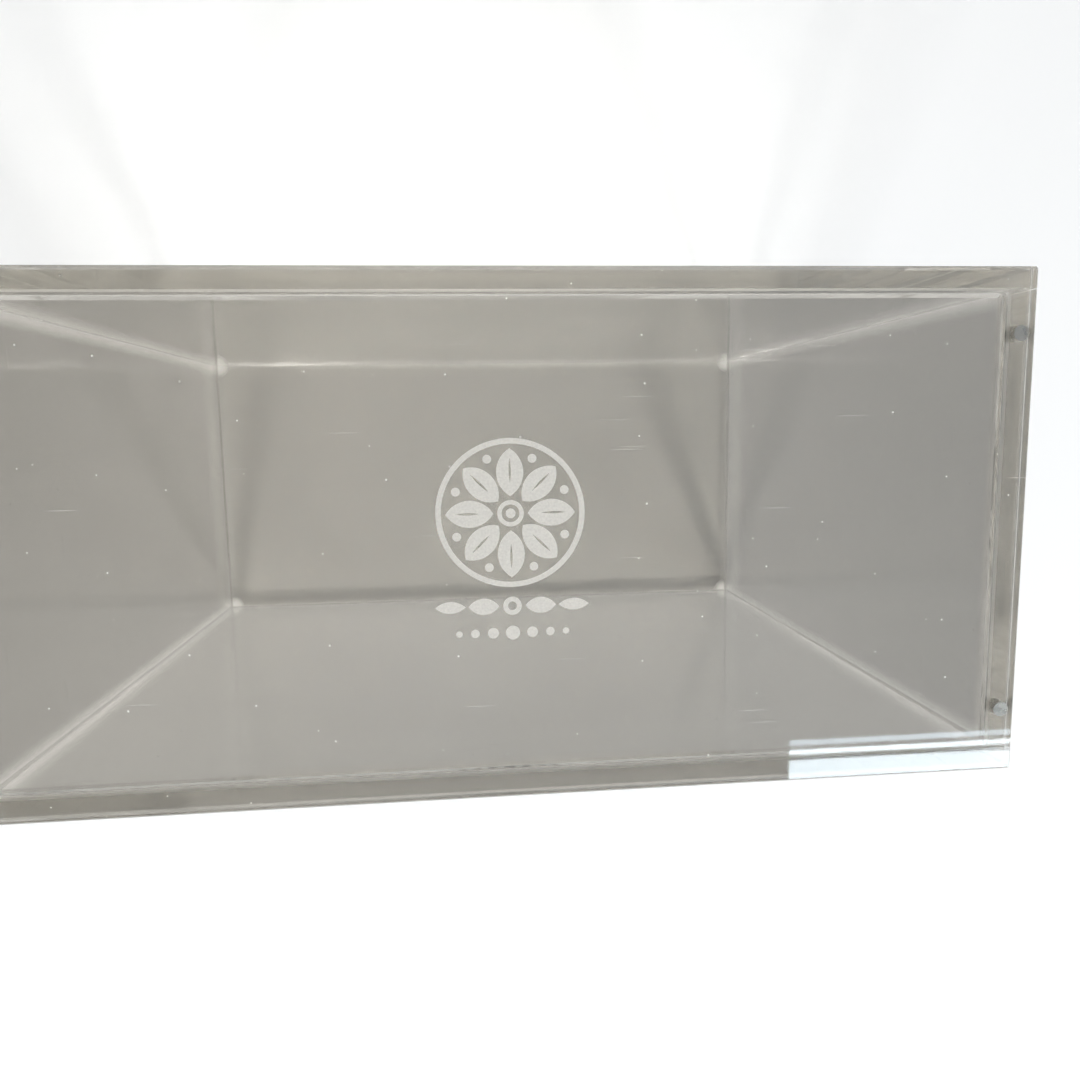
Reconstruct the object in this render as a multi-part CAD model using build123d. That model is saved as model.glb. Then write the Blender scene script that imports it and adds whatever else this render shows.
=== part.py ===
from build123d import *
import os

# A display case for one boxed set of trading cards: five clear acrylic sheets welded
# into an open box, and a lid of two bonded sheets that lifts straight off. Four pairs
# of small magnets keep the lid down.
#
# +Z is up. The origin is the centre of the underside of the base. X runs along the
# long walls and Y across them, with the front at -Y.

# The room inside, from wall to wall and from the base up to the lid
inside_width = 190.0
inside_depth = 89.0
wall_height = 170.0

# The acrylic sheets
base_sheet = 4.0
wall_sheet = 4.0
lid_sheet = 4.0
locating_sheet = 3.0

# The gap all round between the locating plate under the lid and the walls
locating_clearance = 0.5

# The polished bevels: on the open edges of the sheets, and on the locating plate's
# lower edge, which leads it in between the walls
edge_bevel = 0.4
lead_in_bevel = 0.6

# The disc magnets, how far each lies from the end of its short wall, how far its face
# stays below the sheet's, and the adhesive round it
magnet_diameter = 3.0
magnet_length = 2.0
magnet_from_wall_end = 8.0
magnet_recess = 0.1
adhesive_film = 0.05

outside_width = inside_width + 2 * wall_sheet
outside_depth = inside_depth + 2 * wall_sheet
walls_bottom = base_sheet
walls_top = walls_bottom + wall_height


def sheet(width, depth, thickness, bottom):
    """A flat sheet centred on the Z axis, with its lower face at height bottom."""
    flat = Box(width, depth, thickness, align=(Align.CENTER, Align.CENTER, Align.MIN))
    return Pos(0, 0, bottom) * flat


def lowest_edges(shape):
    """The edges round the underside of shape."""
    return shape.edges().group_by(Axis.Z)[0]


def highest_edges(shape):
    """The edges round the top of shape."""
    return shape.edges().group_by(Axis.Z)[-1]


def magnet_places():
    """The name and the X and Y of each magnet pair, over the middle of the short walls."""
    x = inside_width / 2 + wall_sheet / 2
    y = inside_depth / 2 - magnet_from_wall_end
    return {
        "front_left": (-x, -y),
        "front_right": (x, -y),
        "back_left": (-x, y),
        "back_right": (x, y),
    }


def magnet_bores(opening_height, into):
    """The blind bores for the four magnets. They open at opening_height, and go up from
    there if into is 1 or down if it is -1."""
    depth = magnet_length + magnet_recess
    radius = magnet_diameter / 2 + adhesive_film
    middle = opening_height + into * depth / 2
    return [Pos(x, y, middle) * Cylinder(radius, depth) for x, y in magnet_places().values()]


def magnets(opening_height, into):
    """The four magnets, each seated on the blind end of its bore."""
    middle = opening_height + into * (magnet_recess + magnet_length / 2)
    disc = Cylinder(magnet_diameter / 2, magnet_length)
    return {name: Pos(x, y, middle) * disc for name, (x, y) in magnet_places().items()}


def base_panel():
    """The bottom sheet, as wide and deep as the case. The walls stand on it."""
    base = sheet(outside_width, outside_depth, base_sheet, 0)
    base = chamfer(base.edges().filter_by(Axis.Z), edge_bevel)
    return chamfer(lowest_edges(base), edge_bevel)


def long_wall(side):
    """The front wall if side is -1, or the back wall if it is 1. It runs the whole width
    of the case, and its ends cover the edges of the short walls."""
    wall = sheet(outside_width, wall_sheet, wall_height, walls_bottom)
    wall = Pos(0, side * (inside_depth + wall_sheet) / 2, 0) * wall
    outward = Axis((0, 0, 0), (0, side, 0))
    outer_face = wall.faces().sort_by(outward)[-1]
    ends = outer_face.edges().filter_by(Axis.Z)
    rims = highest_edges(wall).filter_by(Axis.X)
    return chamfer(ends + rims, edge_bevel)


def short_wall(side):
    """The left wall if side is -1, or the right wall if it is 1. It stands between the
    long walls, and the case's magnets are let into its top edge."""
    wall = sheet(wall_sheet, inside_depth, wall_height, walls_bottom)
    wall = Pos(side * (inside_width + wall_sheet) / 2, 0, 0) * wall
    rims = highest_edges(wall).filter_by(Axis.Y)
    return chamfer(rims, edge_bevel) - magnet_bores(walls_top, -1)


def lid_plate():
    """The top sheet, which rests on the walls' top edges. The lid's magnets are let into
    its underside."""
    lid = sheet(outside_width, outside_depth, lid_sheet, walls_top)
    lid = chamfer(lid.edges().filter_by(Axis.Z), edge_bevel)
    lid = chamfer(lowest_edges(lid) + highest_edges(lid), edge_bevel)
    return lid - magnet_bores(walls_top, 1)


def lid_locating_plate():
    """The smaller sheet bonded under the lid plate. It drops in between the walls and
    stops the lid from sliding off."""
    width = inside_width - 2 * locating_clearance
    depth = inside_depth - 2 * locating_clearance
    plate = sheet(width, depth, locating_sheet, walls_top - locating_sheet)
    plate = chamfer(plate.edges().filter_by(Axis.Z), edge_bevel)
    return chamfer(lowest_edges(plate), lead_in_bevel)


pieces = {
    "base_panel": base_panel(),
    "front_wall": long_wall(-1),
    "back_wall": long_wall(1),
    "left_wall": short_wall(-1),
    "right_wall": short_wall(1),
    "lid_plate": lid_plate(),
    "lid_locating_plate": lid_locating_plate(),
}
for name, magnet in magnets(walls_top, -1).items():
    pieces[f"case_magnet_{name}"] = magnet
for name, magnet in magnets(walls_top, 1).items():
    pieces[f"lid_magnet_{name}"] = magnet

os.makedirs("parts", exist_ok=True)
for name, piece in pieces.items():
    export_step(piece, f"parts/{name}.step")
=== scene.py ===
import math

import bmesh
import bpy
from mathutils import Matrix, Vector


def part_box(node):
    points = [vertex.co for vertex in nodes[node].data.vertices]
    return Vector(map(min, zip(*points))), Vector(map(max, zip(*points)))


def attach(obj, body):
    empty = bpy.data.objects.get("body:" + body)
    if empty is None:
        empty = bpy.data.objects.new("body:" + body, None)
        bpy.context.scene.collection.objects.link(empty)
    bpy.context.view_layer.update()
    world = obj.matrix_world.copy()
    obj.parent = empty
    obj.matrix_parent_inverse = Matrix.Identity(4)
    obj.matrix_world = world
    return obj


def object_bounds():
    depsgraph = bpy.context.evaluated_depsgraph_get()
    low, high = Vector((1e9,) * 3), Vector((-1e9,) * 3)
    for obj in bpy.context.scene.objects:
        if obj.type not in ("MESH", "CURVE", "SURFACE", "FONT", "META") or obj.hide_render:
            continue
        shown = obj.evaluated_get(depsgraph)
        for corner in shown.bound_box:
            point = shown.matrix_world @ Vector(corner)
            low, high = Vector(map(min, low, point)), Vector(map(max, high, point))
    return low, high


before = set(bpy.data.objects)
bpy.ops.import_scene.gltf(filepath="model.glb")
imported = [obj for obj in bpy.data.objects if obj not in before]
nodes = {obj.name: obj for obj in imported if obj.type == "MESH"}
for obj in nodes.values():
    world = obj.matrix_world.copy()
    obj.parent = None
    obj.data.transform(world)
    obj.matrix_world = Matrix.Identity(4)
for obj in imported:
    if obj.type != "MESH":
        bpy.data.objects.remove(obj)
cad_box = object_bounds()
scene = bpy.context.scene
scene.view_settings.view_transform = "Standard"
mm = 0.001


# ---------------------------------------------------------------------------------------
# The box: a base and four walls of clear cast acrylic, 4 mm thick, with polished edges.
# The walls stand on the base and are welded at every joint with a thin solvent cement,
# which traps fine pale bubbles in the joint and creeps a little way out of it. The
# upright joints are also painted paler, as painted light.
# ---------------------------------------------------------------------------------------


class Line:
    """One output in a node tree. Sums written with it are drawn as Math nodes."""

    def __init__(self, tree, output):
        self.tree = tree
        self.output = output

    def maths(self, operation, *values):
        node = self.tree.nodes.new("ShaderNodeMath")
        node.operation = operation
        for socket, value in zip(node.inputs, values):
            join(self.tree, socket, value)
        return Line(self.tree, node.outputs[0])

    def __add__(self, other):
        return self.maths("ADD", self, other)

    def __sub__(self, other):
        return self.maths("SUBTRACT", self, other)

    def __rsub__(self, other):
        return self.maths("SUBTRACT", other, self)

    def __mul__(self, other):
        return self.maths("MULTIPLY", self, other)

    def __abs__(self):
        return self.maths("ABSOLUTE", self)

    def __lt__(self, other):
        return self.maths("LESS_THAN", self, other)

    def __gt__(self, other):
        return self.maths("GREATER_THAN", self, other)

    def __or__(self, other):
        return self.maths("MAXIMUM", self, other)

    def __and__(self, other):
        return self.maths("MINIMUM", self, other)

    __radd__ = __add__
    __rmul__ = __mul__

    def clipped(self, highest=1.0):
        """The line held between 0 and its highest value."""
        return self & highest | 0.0


def join(tree, socket, value):
    """Sets a socket to a plain value, or links a Line to it."""
    if isinstance(value, Line):
        tree.links.new(value.output, socket)
    elif socket.type == "RGBA" and len(value) == 3:
        socket.default_value = (*value, 1.0)
    else:
        socket.default_value = value


class Finish:
    """The node tree of one material, or of the surround."""

    def __init__(self, owner):
        owner.use_nodes = True
        self.owner = owner
        self.tree = owner.node_tree
        self.tree.nodes.clear()

    def node(self, kind, settings=None, sockets=None, output=0):
        """Adds a node of any kind, sets it up, fills its sockets and returns one output."""
        made = self.tree.nodes.new(kind)
        for key, value in (settings or {}).items():
            setattr(made, key, value)
        for key, value in (sockets or {}).items():
            join(self.tree, made.inputs[key], value)
        return Line(self.tree, made.outputs[output]) if made.outputs else None

    def beside(self, line, name):
        """Another output of the node that a line comes from."""
        return Line(self.tree, line.output.node.outputs[name])

    def split(self, vector):
        """The X, Y and Z of a vector."""
        x = self.node("ShaderNodeSeparateXYZ", sockets={0: vector})
        return [x, self.beside(x, 1), self.beside(x, 2)]

    def gather(self, *values):
        """A vector from its X, Y and Z, where Z may be left out."""
        return self.node("ShaderNodeCombineXYZ", sockets=dict(enumerate(values)))

    def noise(self, place, scale, detail=2.0, settings=None):
        """Soft random patches, most of them from 0.3 to 0.7."""
        sockets = {"Vector": place, "Scale": scale, "Detail": detail}
        return self.node("ShaderNodeTexNoise", settings, sockets, output="Fac")

    def surface(self, **sockets):
        """A Principled shader, with underscores for the spaces in its sockets' names."""
        named = {key.replace("_", " "): value for key, value in sockets.items()}
        return self.node("ShaderNodeBsdfPrincipled", sockets=named)

    def nothing(self, tint=(1.0, 1.0, 1.0)):
        """A Transparent shader, which lets light straight through."""
        return self.node("ShaderNodeBsdfTransparent", sockets={"Color": tint})

    def mix(self, factor, first, second):
        """A colour: first where factor is 0 and second where it is 1."""
        sockets = {"Factor": factor, 6: first, 7: second}
        return self.node("ShaderNodeMix", {"data_type": "RGBA"}, sockets, output=2)

    def blend(self, factor, first, second):
        """A Mix Shader: first where factor is 0 and second where it is 1."""
        return self.node("ShaderNodeMixShader", sockets={0: factor, 1: first, 2: second})

    def show(self, shader, kind="ShaderNodeOutputMaterial"):
        self.node(kind, sockets={"Surface": shader})
        return self.owner


# places in the case, taken from the solids
inside_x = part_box("right_wall")[0].x
inside_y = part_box("back_wall")[0].y
floor_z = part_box("base_panel")[1].z
rim_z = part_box("lid_plate")[0].z
plate_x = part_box("lid_locating_plate")[1].x
plate_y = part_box("lid_locating_plate")[1].y
plate_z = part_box("lid_locating_plate")[0].z
magnet_low, magnet_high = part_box("lid_magnet_back_right")
magnet_place = (magnet_low + magnet_high) / 2

# air between sheets that only touch, and how near a face counts as bonded
AIR_GAP = 0.01 * mm
CONTACT = 0.06 * mm
GLUE_ROOM = 0.1 * mm

# faces are told apart by how squarely they face along the sheet's thin axis
BROAD_FACE_FROM = 0.95
CUT_EDGE_UP_TO = 0.3

# the sheets' tone, in soft patches, and their haze where they were wiped. Scales are in
# waves per metre, and of three values the first is for sheets that are thin along X.
ACRYLIC_IOR = 1.49
# the tints are far deeper than clear acrylic's: painted shade that stands in for dim
# surroundings seen through the case. Each wall has its own tint, as painted light and shade
# for how the light fell on it.
BASE_TINT_AND_PAINTED_SHADE = (0.605, 0.591, 0.563)
FRONT_WALL_TINT_AND_PAINTED_SHADE = (0.66, 0.648, 0.624)
BACK_WALL_TINT_AND_PAINTED_SHADE = (0.585, 0.572, 0.546)
SHORT_WALL_TINT_AND_PAINTED_SHADE = (0.505, 0.494, 0.476)
PATCH_CONTRAST = 0.07
CLOUD_SCALES = (19.0, 27.0, 22.0)
WIPE_SCALE = 260.0
WIPE_STRETCH = 0.04
WIPE_SHARE = 0.4
WALL_HAZE = 0.03
BASE_HAZE = 0.05
HAZE_ALL_OVER = 0.4
HAZE_IN_PATCHES = 2.4

# walls are painted paler towards the floor, as painted light, and paler still at their foot
PAINTED_LIGHT_LOW_DOWN = 1.28
FOOT_HEIGHT = 20 * mm
FOOT_SHARPNESS = 2.5
FOOT_PALENESS = 0.32

# cut edges are deeper in tone and keep faint polishing marks along their length; the front
# wall's edges are darker still, as painted shade
EDGE_TINT = (0.50, 0.475, 0.415)
FRONT_EDGE_TINT_AND_PAINTED_SHADE = (0.26, 0.247, 0.217)
MARK_SCALE = 2500.0
MARK_STRETCH = 0.003
MARK_COVER = 0.2
RUBBED_TONE = (0.95, 0.94, 0.90)

# polished bevels are a little matt, more so on the inner rims, and the inner rims are matt
# and pale most at the front, as painted light
FLAT_SHEET_MATT = 0.12
OUTER_MATT = 0.2
INNER_MATT = 0.55
INNER_MATT_AND_PAINTED_LIGHT_PER_Y = -5.0
INNER_BEVEL_REACH = 1 * mm

# bubbles in the cement and painted light make an upright joint pale, at the back left most
# of all, and the joint shades what is behind it
JOINT_CEMENT_AND_PAINTED_LIGHT = (0.98, 0.96, 0.93)
JOINT_WIDTH = 3.2 * mm
BUBBLES_AND_PAINTED_LIGHT = 0.80
BUBBLES_AND_PAINTED_LIGHT_PER_X = -2.2
BUBBLES_AND_PAINTED_LIGHT_PER_Y = 1.6
LEAST_FLOW = 0.7
CUT_EDGE_LOSS = 0.6
JOINT_SHADOW = 0.7

# dust, and hairline scratches that cleaning left
DUST_SCALE = 85.0
DUST_SIZE = 0.018
DUST_COVER = 0.6
OTHER_FACE_SHIFT = 37.0
HAIRLINE_SCALE = 4200.0
HAIRLINE_STRETCH = 0.012
HAIRLINE_TURN = 0.5
HAIRLINE_FROM = 0.86
HAIRLINE_GAIN = 2.5
DUST_TONE = (0.85, 0.84, 0.81)

# dried cement: how far it crept and how well it covers, thinly along the floor and in a
# pool in each of its corners, and how much light it and a plain face hold back
CEMENT_TONE = (0.95, 0.94, 0.91)
FLOW_SCALE = 160.0
CEMENT_CREEP = (1.6 * mm, 1.6 * mm, 2.0 * mm)
SMEAR_COVER = (0.25, 0.08, 0.9)
SMEAR_LEAST = 0.3
SMEAR_FLOW = 0.9
FLOOR_SMEAR_LEAST = 0.05
FLOOR_SMEAR_FLOW = 0.1
CORNER_POOL = 4.5 * mm
BACK_CREEP_LOSS = 1.3
FRONT_CREEP_LOSS = 6.0
FOOT_CEMENT = 0.3
FOOT_CEMENT_SHADOW = 0.75
FILM_SHADOW = 0.95
SHADE_PER_FACE = (0.925, 0.923, 0.915)


def shaded(colour, share):
    return tuple(value * share for value in colour)


class Sheet(Finish):
    """Clear acrylic sheet, thin along X, Y or Z, which is axis 0, 1 or 2."""

    def __init__(self, name, thin):
        super().__init__(bpy.data.materials.new(name))
        self.thin = thin
        self.upright = thin != 2
        self.place = self.node("ShaderNodeTexCoord", output="Object")
        self.x, self.y, self.z = across = self.split(self.place)
        self.depth = across[thin]
        self.u, self.v = [across[axis] for axis in range(3) if axis != thin]
        facing = self.split(self.node("ShaderNodeNewGeometry", output="True Normal"))
        square_on = abs(facing[thin])
        self.broad_face = square_on > BROAD_FACE_FROM
        self.cut_edge = square_on < CUT_EDGE_UP_TO
        self.bevel = (square_on > CUT_EDGE_UP_TO) * (square_on < BROAD_FACE_FROM)
        self.to_wall_x = inside_x - abs(self.x)
        self.to_wall_y = inside_y - abs(self.y)
        self.to_floor = self.z - floor_z
        self.flow = self.noise(self.place, FLOW_SCALE, detail=3.0)
        self.shadow_ray = self.node("ShaderNodeLightPath", output="Is Shadow Ray")
        self.milky = self.surface(Base_Color=CEMENT_TONE, Roughness=0.6)
        self.clear = self.nothing()

    def patches(self):
        """Where fingers and cloths dulled the gloss, in clouds and in long wipes."""
        clouds = self.noise(self.place, CLOUD_SCALES[self.thin], detail=4.0)
        wiping = self.gather(self.u * WIPE_STRETCH, self.v, self.depth)
        wipes = self.noise(wiping, WIPE_SCALE, detail=3.0)
        return clouds * (1.0 - WIPE_SHARE) + wipes * WIPE_SHARE

    def joint(self):
        """How pale an upright wall is from its joint outwards, from cement bubbles and
        painted light.
        """
        beside = (self.to_wall_x if self.thin == 1 else self.to_wall_y) | 0.0
        near = 1.0 - beside * (1.0 / JOINT_WIDTH)
        # the pale joint is cement bubbles and painted light, strongest at the back left
        bubbles_and_painted_light = BUBBLES_AND_PAINTED_LIGHT + self.x * BUBBLES_AND_PAINTED_LIGHT_PER_X + self.y * BUBBLES_AND_PAINTED_LIGHT_PER_Y
        kept = 1.0 - self.cut_edge * CUT_EDGE_LOSS
        return (near * (LEAST_FLOW + self.flow) * bubbles_and_painted_light * kept).clipped()

    def tint(self, patches, body, edge, joint):
        """The colour that the light takes at each face, with painted light low on the walls.
        """
        lighter = shaded(body, 1.0 + PATCH_CONTRAST)
        tone = self.mix(patches, shaded(body, 1.0 - PATCH_CONTRAST), lighter)
        if self.upright:
            # painted light: walls are paler towards the floor
            up = (self.to_floor * (1.0 / (rim_z - floor_z))).clipped()
            tone = self.mix(up, shaded(body, PAINTED_LIGHT_LOW_DOWN), tone)
            foot = (1.0 - self.to_floor * (1.0 / FOOT_HEIGHT)) * FOOT_SHARPNESS
            tone = self.mix(foot.clipped() * FOOT_PALENESS, tone, JOINT_CEMENT_AND_PAINTED_LIGHT)
        tone = self.mix(self.cut_edge, tone, edge)
        if self.upright:
            # painted light: the wall is paler beside its upright joints
            tone = self.mix(joint, tone, JOINT_CEMENT_AND_PAINTED_LIGHT)
        return tone

    def polish(self, patches, tint, haze):
        """Glossy faces and edges, with matt bevels and the marks of the polishing wheel."""
        glass = self.surface(
            Base_Color=tint,
            Roughness=haze * HAZE_ALL_OVER + patches * patches * (haze * HAZE_IN_PATCHES),
            IOR=ACRYLIC_IOR,
            Transmission_Weight=1.0,
        )
        rubbed = self.surface(
            Base_Color=RUBBED_TONE, Roughness=0.5, IOR=ACRYLIC_IOR, Transmission_Weight=0.5
        )
        along = self.gather(self.u * MARK_STRETCH, self.v * MARK_STRETCH, self.depth)
        marks = self.cut_edge * self.noise(along, MARK_SCALE, detail=3.0) * MARK_COVER
        matt = FLAT_SHEET_MATT
        if self.upright:
            inner = abs(self.depth) < (inside_x, inside_y)[self.thin] + INNER_BEVEL_REACH
            # painted light: the inner bevels grow matter and paler towards the front
            matt = OUTER_MATT + inner * (INNER_MATT + self.y * INNER_MATT_AND_PAINTED_LIGHT_PER_Y)
        return self.blend(marks | self.bevel * matt, glass, rubbed)

    def wear(self, shader):
        """Dust settles on the faces, and cleaning leaves a few hairline scratches."""
        flat = self.gather(self.u + self.depth * OTHER_FACE_SHIFT, self.v)
        speck = self.node(
            "ShaderNodeTexVoronoi",
            {"voronoi_dimensions": "2D"},
            {"Vector": flat, "Scale": DUST_SCALE},
        )
        chance = self.split(self.beside(speck, "Color"))[0]
        dust = (speck < chance * chance * DUST_SIZE) * DUST_COVER
        stretch = (HAIRLINE_STRETCH, 1.0, 1.0)
        turned = self.node(
            "ShaderNodeMapping",
            sockets={"Vector": flat, "Rotation": (0.0, 0.0, HAIRLINE_TURN), "Scale": stretch},
        )
        on_plane = {"noise_dimensions": "2D"}
        hairline = self.noise(turned, HAIRLINE_SCALE, detail=0.0, settings=on_plane)
        hairline = (hairline - HAIRLINE_FROM) * HAIRLINE_GAIN
        pale = self.surface(Base_Color=DUST_TONE, Roughness=0.8)
        return self.blend((dust | hairline | 0.0) * self.broad_face, shader, pale)

    def smear(self, shader):
        """Cement that crept out of a joint dries as a pale smear on the faces beside it."""
        beside = self.to_floor
        if not self.upright:
            to_back = (inside_y - self.y) * BACK_CREEP_LOSS
            to_front = (self.y + inside_y) * FRONT_CREEP_LOSS
            beside = self.to_wall_x & to_back & to_front
        near = 1.0 - beside * (1.0 / CEMENT_CREEP[self.thin])
        cover = near * (SMEAR_LEAST + self.flow * SMEAR_FLOW)
        if not self.upright:
            cover = cover & FLOOR_SMEAR_LEAST + self.flow * FLOOR_SMEAR_FLOW
            from_corner = self.to_wall_x * self.to_wall_x + self.to_wall_y * self.to_wall_y
            cover = cover | 1.0 - from_corner * (1.0 / CORNER_POOL**2)
        in_box = (self.to_wall_x > -CONTACT) * (self.to_wall_y > -CONTACT)
        in_box = in_box * (self.to_floor > -CONTACT) * (self.z < plate_z - 1.0 * mm)
        cover = (cover | 0.0) * in_box * self.broad_face * SMEAR_COVER[self.thin]
        return self.blend(cover, shader, self.milky)

    def lit_through(self, shader, joint):
        """Lamps shine through the sheets, a little dimmer, and dimmer beside a joint."""
        shade = self.nothing(SHADE_PER_FACE)
        if self.upright:
            shade = self.blend(joint * JOINT_SHADOW, shade, self.milky)
        return self.blend(self.shadow_ray, shader, shade)

    def bonded(self, shader):
        """Nothing bends where two sheets, or a sheet and a magnet, are bonded."""
        over_wall = (self.to_wall_x < 0.0) | (self.to_wall_y < 0.0)
        under_walls = (abs(self.to_floor) < CONTACT) * over_wall
        at_corners = (abs(self.to_wall_y) < CONTACT) * (self.to_wall_x < 0.0)
        in_plate = (abs(self.x) < plate_x) * (abs(self.y) < plate_y)
        off_rim = abs(self.z - rim_z)
        under_lid = (off_rim < CONTACT) * in_plate
        off_x = abs(self.x) - magnet_place.x
        off_y = abs(self.y) - magnet_place.y
        bore = (magnet_high.x - magnet_low.x) / 2 + GLUE_ROOM
        in_bore = off_x * off_x + off_y * off_y < bore**2
        at_magnet = in_bore * (off_rim < magnet_high.z - rim_z + GLUE_ROOM)
        cement = self.clear
        if self.upright:
            cover = self.flow * FOOT_CEMENT | self.shadow_ray * FOOT_CEMENT_SHADOW
            cement = self.blend(cover, self.clear, self.milky)
        film = self.blend(self.shadow_ray * FILM_SHADOW, self.clear, self.milky)
        shader = self.blend(under_walls, shader, cement)
        shader = self.blend(at_corners, shader, film)
        return self.blend(under_lid | at_magnet, shader, self.clear)


def acrylic(name, thin, haze, body, edge=EDGE_TINT):
    """Clear acrylic, tinted deeper than it is as painted shade. Its broad faces and cut edges
    refract, its bevels are paler, and cement and painted light show pale in the joints and
    cement beside them."""
    sheet = Sheet(name, thin)
    patches = sheet.patches()
    joint = sheet.joint() if sheet.upright else None
    shader = sheet.polish(patches, sheet.tint(patches, body, edge, joint), haze)
    shader = sheet.smear(sheet.wear(shader))
    return sheet.show(sheet.bonded(sheet.lit_through(shader, joint)))


def dress_sheet(name, material):
    """Gives a sheet its finish. It shrinks by a hair, so that no two faces coincide."""
    nodes[name].material_slots[0].material = material
    weld = nodes[name].modifiers.new("one skin", "WELD")
    weld.merge_threshold = 0.001 * mm
    gap = nodes[name].modifiers.new("air gap", "DISPLACE")
    gap.mid_level = 0.0
    gap.strength = -AIR_GAP


# painted shade: every sheet is tinted deeper than clear acrylic, and each wall by its own
# amount
base_acrylic = acrylic("clear_acrylic_base", 2, BASE_HAZE, BASE_TINT_AND_PAINTED_SHADE)
# painted shade: the front wall's cut edges are darker than the other walls'
front_acrylic = acrylic("clear_acrylic_front", 1, WALL_HAZE, FRONT_WALL_TINT_AND_PAINTED_SHADE, FRONT_EDGE_TINT_AND_PAINTED_SHADE)
back_acrylic = acrylic("clear_acrylic_back", 1, WALL_HAZE, BACK_WALL_TINT_AND_PAINTED_SHADE)
short_acrylic = acrylic("clear_acrylic_short", 0, WALL_HAZE, SHORT_WALL_TINT_AND_PAINTED_SHADE)
dress_sheet("base_panel", base_acrylic)
dress_sheet("front_wall", front_acrylic)
dress_sheet("back_wall", back_acrylic)
for side in ("left_wall", "right_wall"):
    dress_sheet(side, short_acrylic)


# ---------------------------------------------------------------------------------------
# The lid: a sheet of the same acrylic as wide as the box, with a thinner plate bonded
# under it that drops between the walls and keeps the lid in place.
# ---------------------------------------------------------------------------------------

lid_acrylic = acrylic("clear_acrylic_lid", 2, WALL_HAZE, BASE_TINT_AND_PAINTED_SHADE)
for name in ("lid_plate", "lid_locating_plate"):
    dress_sheet(name, lid_acrylic)


# ---------------------------------------------------------------------------------------
# The frosted mark: an ornament engraved in the middle of the lid by laser, a rosette in
# a ring over two rows of leaves and dots. The engraving is a fine white frost that lets
# a little of what lies below show through.
# ---------------------------------------------------------------------------------------

FROST_TOP = cad_box[1].z
FROST_DEPTH = 0.05 * mm
FROST_TONE = (0.89, 0.865, 0.81)
FROST_COVER = 0.72
GRAIN_SCALE = 2600.0
GRAIN_COVER = 0.4
ROW_PITCH = 0.25 * mm
ROW_COVER = 0.03
ARC_STEPS = 14

ROSETTE_CENTRE = Vector((0.3, 5.2)) * mm
ROSETTE_RADIUS = 13.5 * mm
RING_WIDTH = 1.0 * mm
HUB_RADII = (2.4 * mm, 1.6 * mm, 0.9 * mm)
PETALS = 8
PETAL_REACH = 7.4 * mm
PETAL_SIZE = (8.6 * mm, 4.9 * mm)
VEIN_SHIFT = 0.4 * mm
VEIN_SIZE = (4.6 * mm, 0.4 * mm)
STUD_REACH = 10.6 * mm
STUD_RADIUS = 0.8 * mm

UPPER_ROW_DROP = 17.0 * mm
EYE_RADII = (1.7 * mm, 0.8 * mm)
LEAVES = ((5.2 * mm, 5.6 * mm, 3.0 * mm), (11.3 * mm, 5.6 * mm, 2.2 * mm))
LOWER_ROW_DROP = 22.0 * mm
DOTS = ((3.6 * mm, 1.0 * mm), (6.9 * mm, 0.8 * mm), (9.8 * mm, 0.6 * mm))
MIDDLE_DOT = 1.3 * mm


def arc(centre, radius, start, end, steps):
    """Points along an arc, both ends included, in radians."""
    turns = [start + (end - start) * i / steps for i in range(steps + 1)]
    return [centre + radius * Vector((math.cos(t), math.sin(t))) for t in turns]


def disc(centre, radius):
    return arc(centre, radius, 0.0, 2 * math.pi, 4 * ARC_STEPS)[:-1]


def leaf(middle, length, width, turn):
    """A pointed oval between two arcs, its long axis turned from X."""
    half, rise = length / 2, width / 2
    radius = (half * half + rise * rise) / (2 * rise)
    swing = math.asin(half / radius)
    low = Vector((0.0, rise - radius))
    upper = arc(low, radius, math.pi / 2 - swing, math.pi / 2 + swing, ARC_STEPS)
    outline = upper + [Vector((p.x, -p.y)) for p in reversed(upper[1:-1])]
    rotation = Matrix.Rotation(turn, 2)
    return [middle + rotation @ p for p in outline]


def engrave(form, outline, holes=()):
    """Adds one closed solid with this outline, as deep as the engraving."""
    edges = []
    for loop in (outline, *holes):
        points = [form.verts.new((p.x, p.y, FROST_TOP)) for p in loop]
        edges += [form.edges.new(pair) for pair in zip(points, points[1:] + points[:1])]
    top = bmesh.ops.triangle_fill(form, edges=edges, use_beauty=True)["geom"]
    faces = [f for f in top if isinstance(f, bmesh.types.BMFace)]
    sunk = bmesh.ops.extrude_face_region(form, geom=faces, use_keep_orig=True)["geom"]
    for vert in sunk:
        if isinstance(vert, bmesh.types.BMVert):
            vert.co.z -= FROST_DEPTH


def engrave_rosette(form):
    """A ring, a hub, eight veined petals and a stud between each two of them."""
    ring_inside = disc(ROSETTE_CENTRE, ROSETTE_RADIUS - RING_WIDTH)
    engrave(form, disc(ROSETTE_CENTRE, ROSETTE_RADIUS), [ring_inside])
    hub, hub_hole, hub_dot = [disc(ROSETTE_CENTRE, radius) for radius in HUB_RADII]
    engrave(form, hub, [hub_hole])
    engrave(form, hub_dot)
    for i in range(PETALS):
        turn = 2 * math.pi * i / PETALS
        outward = Vector((math.cos(turn), math.sin(turn)))
        petal = ROSETTE_CENTRE + outward * PETAL_REACH
        vein = leaf(petal + outward * VEIN_SHIFT, *VEIN_SIZE, turn)
        engrave(form, leaf(petal, *PETAL_SIZE, turn), [vein])
        turn += math.pi / PETALS
        outward = Vector((math.cos(turn), math.sin(turn)))
        engrave(form, disc(ROSETTE_CENTRE + outward * STUD_REACH, STUD_RADIUS))


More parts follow.
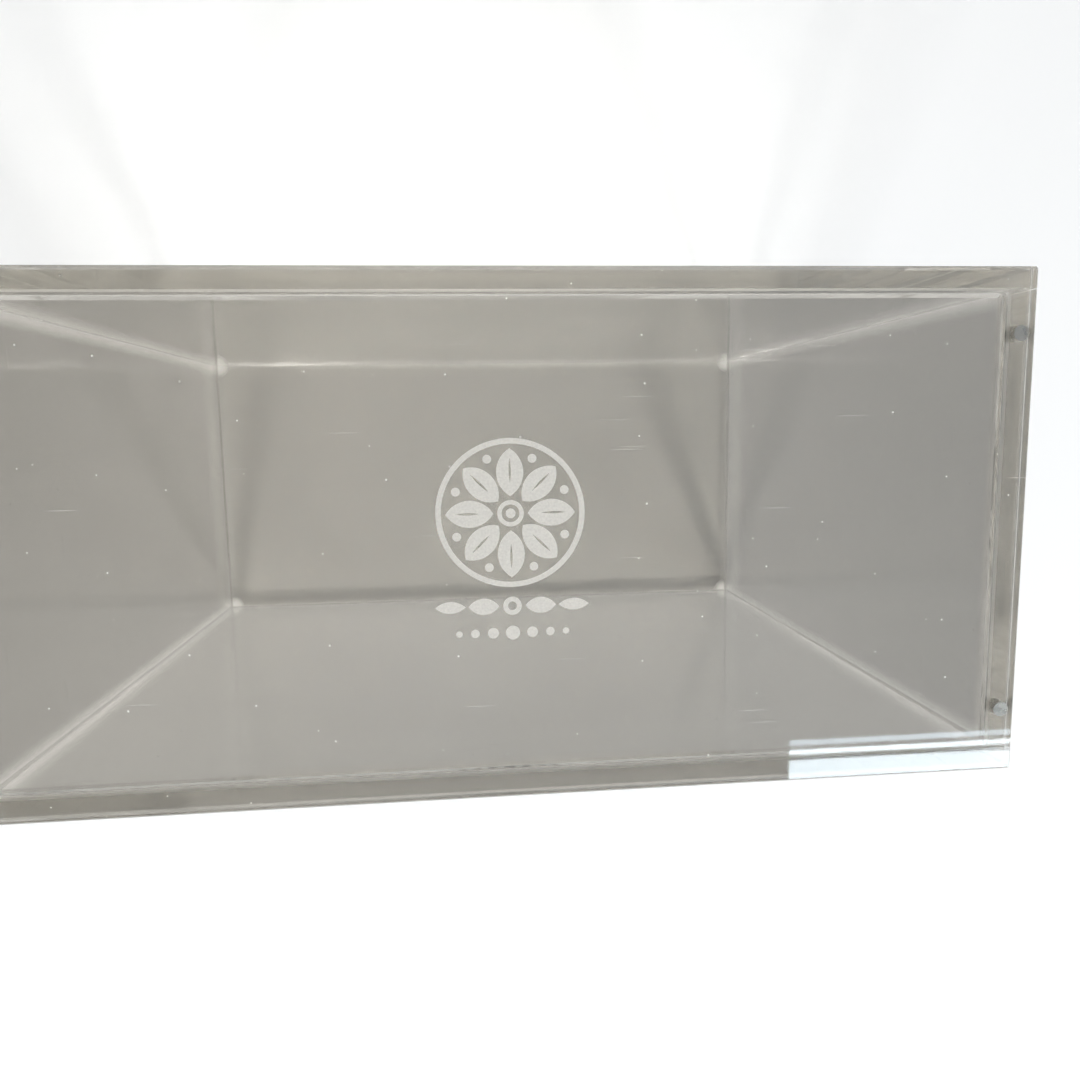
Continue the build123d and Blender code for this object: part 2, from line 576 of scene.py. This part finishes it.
def engrave_rows(form):
    """A row of leaves on either side of an eye, and a row of dots below it."""
    upper_row = ROSETTE_CENTRE - Vector((0.0, UPPER_ROW_DROP))
    lower_row = ROSETTE_CENTRE - Vector((0.0, LOWER_ROW_DROP))
    eye, pupil = [disc(upper_row, radius) for radius in EYE_RADII]
    engrave(form, eye, [pupil])
    for side in (-1, 1):
        for reach, length, width in LEAVES:
            engrave(form, leaf(upper_row + Vector((side * reach, 0.0)), length, width, 0.0))
        for reach, radius in DOTS:
            engrave(form, disc(lower_row + Vector((side * reach, 0.0)), radius))
    engrave(form, disc(lower_row, MIDDLE_DOT))


frost_form = bmesh.new()
engrave_rosette(frost_form)
engrave_rows(frost_form)
bmesh.ops.recalc_face_normals(frost_form, faces=frost_form.faces)
frost_mesh = bpy.data.meshes.new("frosted_mark")
frost_form.to_mesh(frost_mesh)
frost_form.free()
frosted_mark = bpy.data.objects.new("frosted_mark", frost_mesh)
scene.collection.objects.link(frosted_mark)

# the laser engraves in fine rows, and its frost is grainy
frost = Finish(bpy.data.materials.new("laser_frost"))
frost_place = frost.node("ShaderNodeTexCoord", output="Object")
frost_y = frost.split(frost_place)[1]
rows = frost_y.maths("SINE", frost_y * (2 * math.pi / ROW_PITCH))
grain = frost.noise(frost_place, GRAIN_SCALE, detail=3.0)
cover = FROST_COVER + grain * GRAIN_COVER + rows * ROW_COVER
white_frost = frost.surface(Base_Color=FROST_TONE, Roughness=0.75, Transmission_Weight=0.35)
frost_mesh.materials.append(frost.show(frost.blend(cover, frost.nothing(), white_frost)))
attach(frosted_mark, "lid")


# ---------------------------------------------------------------------------------------
# The magnets: nickel-plated neodymium discs, 3 mm across, glued into blind holes in the
# top edges of the short walls and in the underside of the lid.
# ---------------------------------------------------------------------------------------

TUMBLING_SCALE = 3000.0
TARNISH_SCALE = 700.0
TARNISHED_TONE = (0.50, 0.48, 0.44)
BRIGHT_TONE = (0.64, 0.63, 0.60)
LEAST_DULLNESS = 0.16
TARNISH_DULLNESS = 0.25

nickel = Finish(bpy.data.materials.new("nickel_plating"))
nickel_place = nickel.node("ShaderNodeTexCoord", output="Object")
tumbled = nickel.noise(nickel_place, TUMBLING_SCALE, detail=3.0)
tarnish = nickel.noise(nickel_place, TARNISH_SCALE)
dents = nickel.node(
    "ShaderNodeBump", sockets={"Strength": 0.25, "Distance": 0.02 * mm, "Height": tumbled}
)
plating = nickel.surface(
    Base_Color=nickel.mix(tarnish, TARNISHED_TONE, BRIGHT_TONE),
    Metallic=1.0,
    Roughness=LEAST_DULLNESS + tarnish * TARNISH_DULLNESS,
    Normal=dents,
)
nickel_plating = nickel.show(plating)
for name, node in nodes.items():
    if "magnet" in name:
        node.material_slots[0].material = nickel_plating


# ---------------------------------------------------------------------------------------
# The stage: a plain white table under an even pale surround, two soft lamps in front of
# the case, and a window on the right that shows in the polished lid.
# ---------------------------------------------------------------------------------------

WHITE = (1.0, 1.0, 1.0)
TABLE_SIZE = 6.0
TABLE_DROP = 0.2 * mm
TABLE_TONE = (0.93, 0.93, 0.93)
TABLE_GLOW = 0.1
FADE_FROM = 0.5
FADE_OVER = 0.9


def seen_directly(finish):
    """1 for rays from the camera, a reflection or a refraction, and 0 for light's own."""
    camera_ray = finish.node("ShaderNodeLightPath", output="Is Camera Ray")
    glossy_ray = finish.beside(camera_ray, "Is Glossy Ray")
    through_ray = finish.beside(camera_ray, "Is Transmission Ray")
    return camera_ray | glossy_ray | through_ray


table_form = bmesh.new()
bmesh.ops.create_grid(table_form, x_segments=1, y_segments=1, size=TABLE_SIZE / 2)
table_mesh = bpy.data.meshes.new("table")
table_form.to_mesh(table_mesh)
table_form.free()
table = bpy.data.objects.new("table", table_mesh)
table.location.z = -TABLE_DROP
scene.collection.objects.link(table)
table_top = Finish(bpy.data.materials.new("table_top"))
paint = table_top.node("ShaderNodeBsdfDiffuse", sockets={"Color": TABLE_TONE})
glow = table_top.node("ShaderNodeEmission", sockets={"Color": WHITE})
near_by = table_top.blend(seen_directly(table_top) * TABLE_GLOW, paint, glow)
# far off it fades into the surround, so that no horizon shows
table_place = table_top.node("ShaderNodeTexCoord", output="Object")
table_x, table_y = table_top.split(table_place)[:2]
away = table_x.maths("SQRT", table_x * table_x + table_y * table_y)
fade = ((away - FADE_FROM) * (1.0 / FADE_OVER)).clipped()
table_finish = table_top.show(table_top.blend(fade, near_by, table_top.nothing()))
table_mesh.materials.append(table_finish)

# the surround is white all round, and overhead a little dimmer and cooler towards the
# right and warmer towards the left
SURROUND_LIGHT = 0.73
OVERHEAD_FROM = 0.45
OVERHEAD_GAIN = 4.0
COOL_TONE = (0.80, 1.0, 1.25)
COOL_START = 0.15
COOL_PER_Y = 0.7
COOL_GAIN = 1.1
COOL_MOST = 0.5
WARM_TONE = (0.88, 0.84, 0.74)
WARM_GAIN = -2.0

scene.world = bpy.data.worlds.new("surround")
surround = Finish(scene.world)
level = SURROUND_LIGHT + seen_directly(surround) * (1.0 - SURROUND_LIGHT)
sky_x, sky_y, sky_z = surround.split(surround.node("ShaderNodeTexCoord"))
overhead = ((sky_z - OVERHEAD_FROM) * OVERHEAD_GAIN).clipped()
cool = ((sky_x - sky_y * COOL_PER_Y + COOL_START) * COOL_GAIN).clipped(COOL_MOST) * overhead
warm = (sky_x * WARM_GAIN).clipped() * overhead
sky_tone = surround.mix(warm, surround.mix(cool, WHITE, COOL_TONE), WARM_TONE)
sky = surround.node(
    "ShaderNodeBackground", sockets={"Color": sky_tone, "Strength": level * (1.0 - cool)}
)
surround.show(sky, "ShaderNodeOutputWorld")


def soft_lamp(name, place, size, power, aim=None, tone=WHITE):
    """A flat lamp that shines straight down, or at a point."""
    lamp = bpy.data.lights.new(name, "AREA")
    lamp.shape = "RECTANGLE"
    lamp.size, lamp.size_y = size
    lamp.energy = power
    lamp.color = tone
    lamp_object = bpy.data.objects.new(name, lamp)
    lamp_object.location = place
    lamp_object.visible_transmission = False
    if aim:
        toward = Vector(aim) - Vector(place)
        lamp_object.rotation_euler = toward.to_track_quat("-Z", "Y").to_euler()
    scene.collection.objects.link(lamp_object)


CASE_MIDDLE = (0.0, 0.0, 0.1)
soft_lamp("soft_left", (-0.36, -1.4, 1.15), (0.22, 0.22), 9.5, aim=CASE_MIDDLE)
soft_lamp("soft_right", (0.62, -1.5, 1.2), (0.24, 0.24), 15.5, aim=CASE_MIDDLE)

# the window has a pane, a bar of light above it and a narrow slit above that
WINDOW_HEIGHT = 1.38
WINDOW_WIDTH = 0.45
WINDOW_LEFT = 0.545
DAYLIGHT = (0.80, 0.92, 1.0)
SKYLIGHT = (0.72, 0.87, 1.0)
for name, middle_y, depth, power, tone in (
    ("window_pane", -0.61, 0.106, 2.9, DAYLIGHT),
    ("window_bar", -0.543, 0.009, 0.27, DAYLIGHT),
    ("window_slit", -0.5258, 0.009, 0.13, SKYLIGHT),
):
    middle = (WINDOW_LEFT + WINDOW_WIDTH / 2, middle_y, WINDOW_HEIGHT)
    soft_lamp(name, middle, (WINDOW_WIDTH, depth), power, tone=tone)

# a ray may bounce many times on its way down inside a wall, or cross many bonded faces
MOST_BOUNCES = 40
MOST_BONDED_FACES = 48
scene.cycles.max_bounces = MOST_BOUNCES
scene.cycles.glossy_bounces = MOST_BOUNCES
scene.cycles.transmission_bounces = MOST_BOUNCES
scene.cycles.transparent_max_bounces = MOST_BONDED_FACES
scene.cycles.caustics_reflective = False

# the camera looks straight down from close above the lid
IMAGE_SIDE = 1080
FOCAL_PIXELS = 846.5
SENSOR = 36.0
EYE = Vector((-8.73, 20.38, 151.76)) * mm
TURN_X, TURN_Y, TURN_Z = [math.radians(angle) for angle in (7.579, 5.330, 1.660)]
camera = bpy.data.cameras.new("camera")
camera.sensor_width = SENSOR
camera.lens = FOCAL_PIXELS / IMAGE_SIDE * SENSOR
camera.clip_start = 5 * mm
camera_object = bpy.data.objects.new("camera", camera)
scene.collection.objects.link(camera_object)
scene.camera = camera_object
turn = Matrix.Rotation(TURN_Z, 3, "Z") @ Matrix.Rotation(TURN_Y, 3, "Y")
turn = turn @ Matrix.Rotation(TURN_X, 3, "X")
lid_top = Vector((0.0, 0.0, cad_box[1].z))
camera_object.matrix_world = Matrix.Translation(lid_top + EYE) @ turn.transposed().to_4x4()
